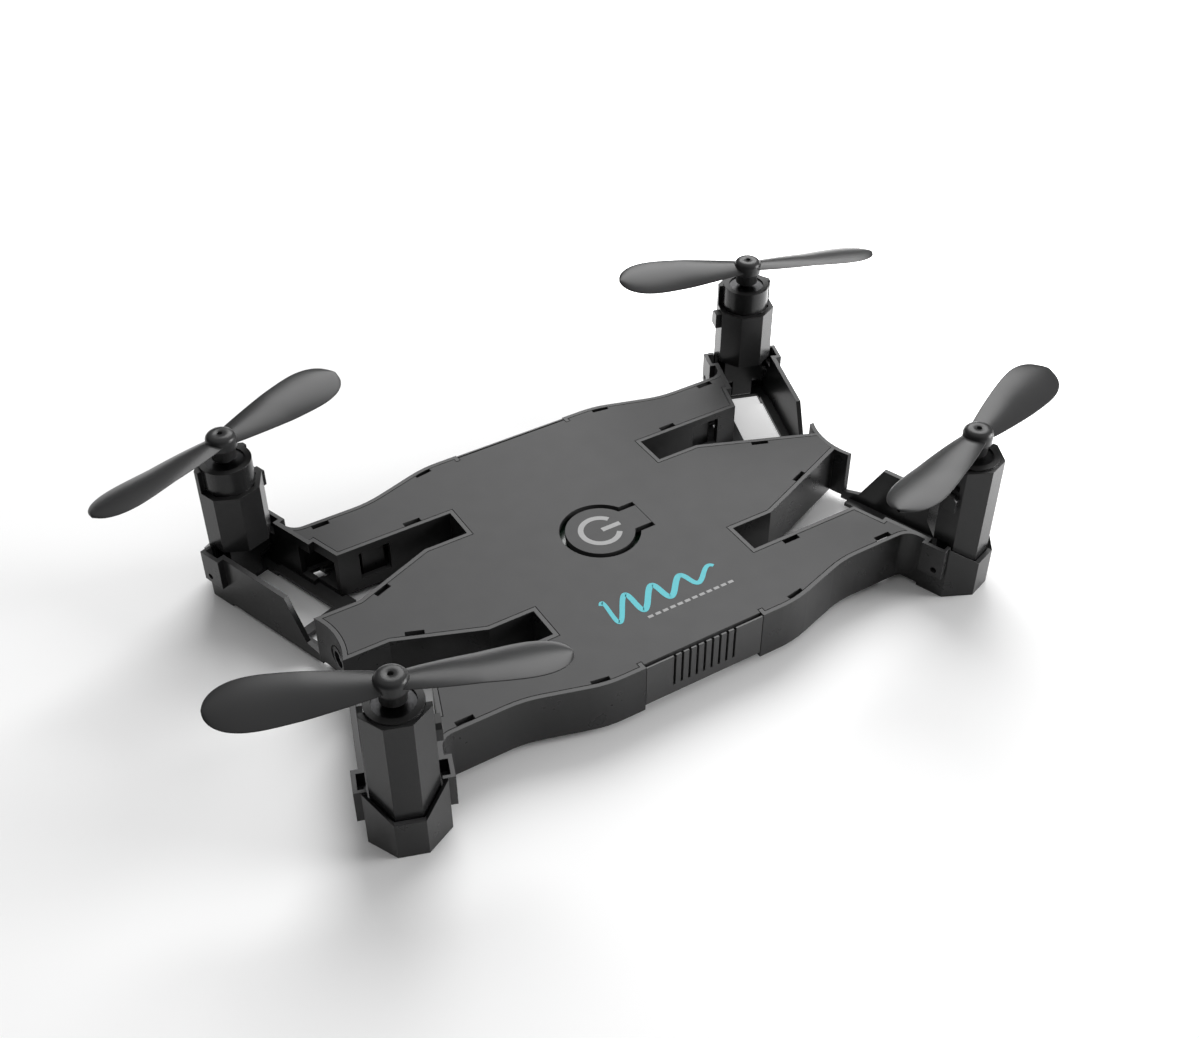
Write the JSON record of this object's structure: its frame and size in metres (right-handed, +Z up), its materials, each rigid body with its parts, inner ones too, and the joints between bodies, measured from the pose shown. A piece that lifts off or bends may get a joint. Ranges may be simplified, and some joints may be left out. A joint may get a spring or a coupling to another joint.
{
  "type": "folding palm drone",
  "caption": "Pocket quadcopter with a flat grey body, motor pods that fold down into its corners, paddle propellers, a power button and a slide-out battery.",
  "frame": {"origin": "centre of the footprint, on the surface that the drone stands on", "axes": "-X towards the camera end, +X towards the tail, +Y to the right side, +Z up along the motor shafts"},
  "size_m": [0.1666, 0.0926, 0.0346],
  "materials": {
    "shell_plastic": "semi-gloss moulded ABS, near black",
    "cover_plastic": "satin moulded ABS, mid grey",
    "button_plastic": "satin moulded ABS with a printed power symbol",
    "cap_plastic": "satin moulded ABS, dark grey",
    "pod_plastic": "semi-gloss moulded ABS, near black",
    "propeller_plastic": "polypropylene, soft gloss",
    "motor_steel": "drawn steel can, blackened",
    "pin_steel": "ground steel",
    "end_cap_plastic": "moulded nylon",
    "battery_foil": "pouch foil with a wrapped edge",
    "board_laminate": "green solder mask",
    "chip_resin": "moulded resin",
    "shield_metal": "tinned sheet",
    "switch_metal": "stamped sheet",
    "camera_plastic": "black moulded plastic",
    "lens_glass": "coated lens",
    "ribbon_film": "polyimide film",
    "antenna_wire": "insulated wire",
    "lead_rubber": "silicone insulated leads",
    "led_lens": "clear indicator lens",
    "screw_steel": "black oxide steel"
  },
  "bodies": {
    "airframe": {"antenna_wire": "antenna_wire", "camera_body": "camera_plastic", "camera_lens": "camera_plastic", "camera_ribbon": "ribbon_film", "charge_socket": "shield_metal", "cover_screws": "screw_steel", "flight_controller": "chip_resin", "hinge_pin_front_left": "pin_steel", "hinge_pin_front_right": "pin_steel", "hinge_pin_rear_left": "pin_steel", "hinge_pin_rear_right": "pin_steel", "lens_glass": "lens_glass", "lower_tray": "shell_plastic", "main_board": "board_laminate", "motion_sensor": "chip_resin", "motor_drivers": "chip_resin", "motor_leads": "lead_rubber", "radio_module": "shield_metal", "side_vent_cap": "cap_plastic", "status_leds": "led_lens", "tact_switch": "switch_metal", "top_cover": "cover_plastic"},
    "battery_drawer": {"battery_sled": "cap_plastic", "battery_cell": "battery_foil"},
    "power_button": {"power_button": "button_plastic"},
    "pod_rear_right": {"motor_pod_rear_right": "pod_plastic", "motor_can_rear_right": "motor_steel", "motor_end_cap_rear_right": "end_cap_plastic"},
    "rotor_rear_right": {"propeller_rear_right": "propeller_plastic", "motor_shaft_rear_right": "pin_steel"},
    "pod_front_right": {"motor_pod_front_right": "pod_plastic", "motor_can_front_right": "motor_steel", "motor_end_cap_front_right": "end_cap_plastic"},
    "rotor_front_right": {"propeller_front_right": "propeller_plastic", "motor_shaft_front_right": "pin_steel"},
    "pod_rear_left": {"motor_pod_rear_left": "pod_plastic", "motor_can_rear_left": "motor_steel", "motor_end_cap_rear_left": "end_cap_plastic"},
    "rotor_rear_left": {"propeller_rear_left": "propeller_plastic", "motor_shaft_rear_left": "pin_steel"},
    "pod_front_left": {"motor_pod_front_left": "pod_plastic", "motor_can_front_left": "motor_steel", "motor_end_cap_front_left": "end_cap_plastic"},
    "rotor_front_left": {"propeller_front_left": "propeller_plastic", "motor_shaft_front_left": "pin_steel"}
  },
  "joints": [
    {"name": "fold_rear_right", "type": "hinge", "parent": "airframe", "child": "pod_rear_right", "pos_m": [0.05723, 0.03436, 0.0064], "axis": [0.9455, -0.3256, 0], "range_deg": [0, 90]},
    {"name": "spin_rear_right", "type": "hinge", "parent": "pod_rear_right", "child": "rotor_rear_right", "pos_m": [0.0573, 0.03455, 0.0329], "axis": [0, 0, 1], "continuous": true},
    {"name": "fold_front_right", "type": "hinge", "parent": "airframe", "child": "pod_front_right", "pos_m": [-0.05723, 0.03436, 0.0064], "axis": [0.9455, 0.3256, 0], "range_deg": [0, 90]},
    {"name": "spin_front_right", "type": "hinge", "parent": "pod_front_right", "child": "rotor_front_right", "pos_m": [-0.0573, 0.03455, 0.0329], "axis": [0, 0, 1], "continuous": true},
    {"name": "fold_rear_left", "type": "hinge", "parent": "airframe", "child": "pod_rear_left", "pos_m": [0.05723, -0.03436, 0.0064], "axis": [-0.9455, -0.3256, 0], "range_deg": [0, 90]},
    {"name": "spin_rear_left", "type": "hinge", "parent": "pod_rear_left", "child": "rotor_rear_left", "pos_m": [0.0573, -0.03455, 0.0329], "axis": [0, 0, 1], "continuous": true},
    {"name": "fold_front_left", "type": "hinge", "parent": "airframe", "child": "pod_front_left", "pos_m": [-0.05723, -0.03436, 0.0064], "axis": [-0.9455, 0.3256, 0], "range_deg": [0, 90]},
    {"name": "spin_front_left", "type": "hinge", "parent": "pod_front_left", "child": "rotor_front_left", "pos_m": [-0.0573, -0.03455, 0.0329], "axis": [0, 0, 1], "continuous": true},
    {"name": "press_power", "type": "hinge", "parent": "airframe", "child": "power_button", "pos_m": [0.00957, 0, 0.0109], "axis": [0, -1, 0], "range_deg": [0, 2.6], "stiffness_Nm_per_rad": 0.02, "springref_deg": -1.72},
    {"name": "slide_battery", "type": "slide", "parent": "airframe", "child": "battery_drawer", "axis": [0, -1, 0], "range_m": [0, 0.036]}
  ]
}
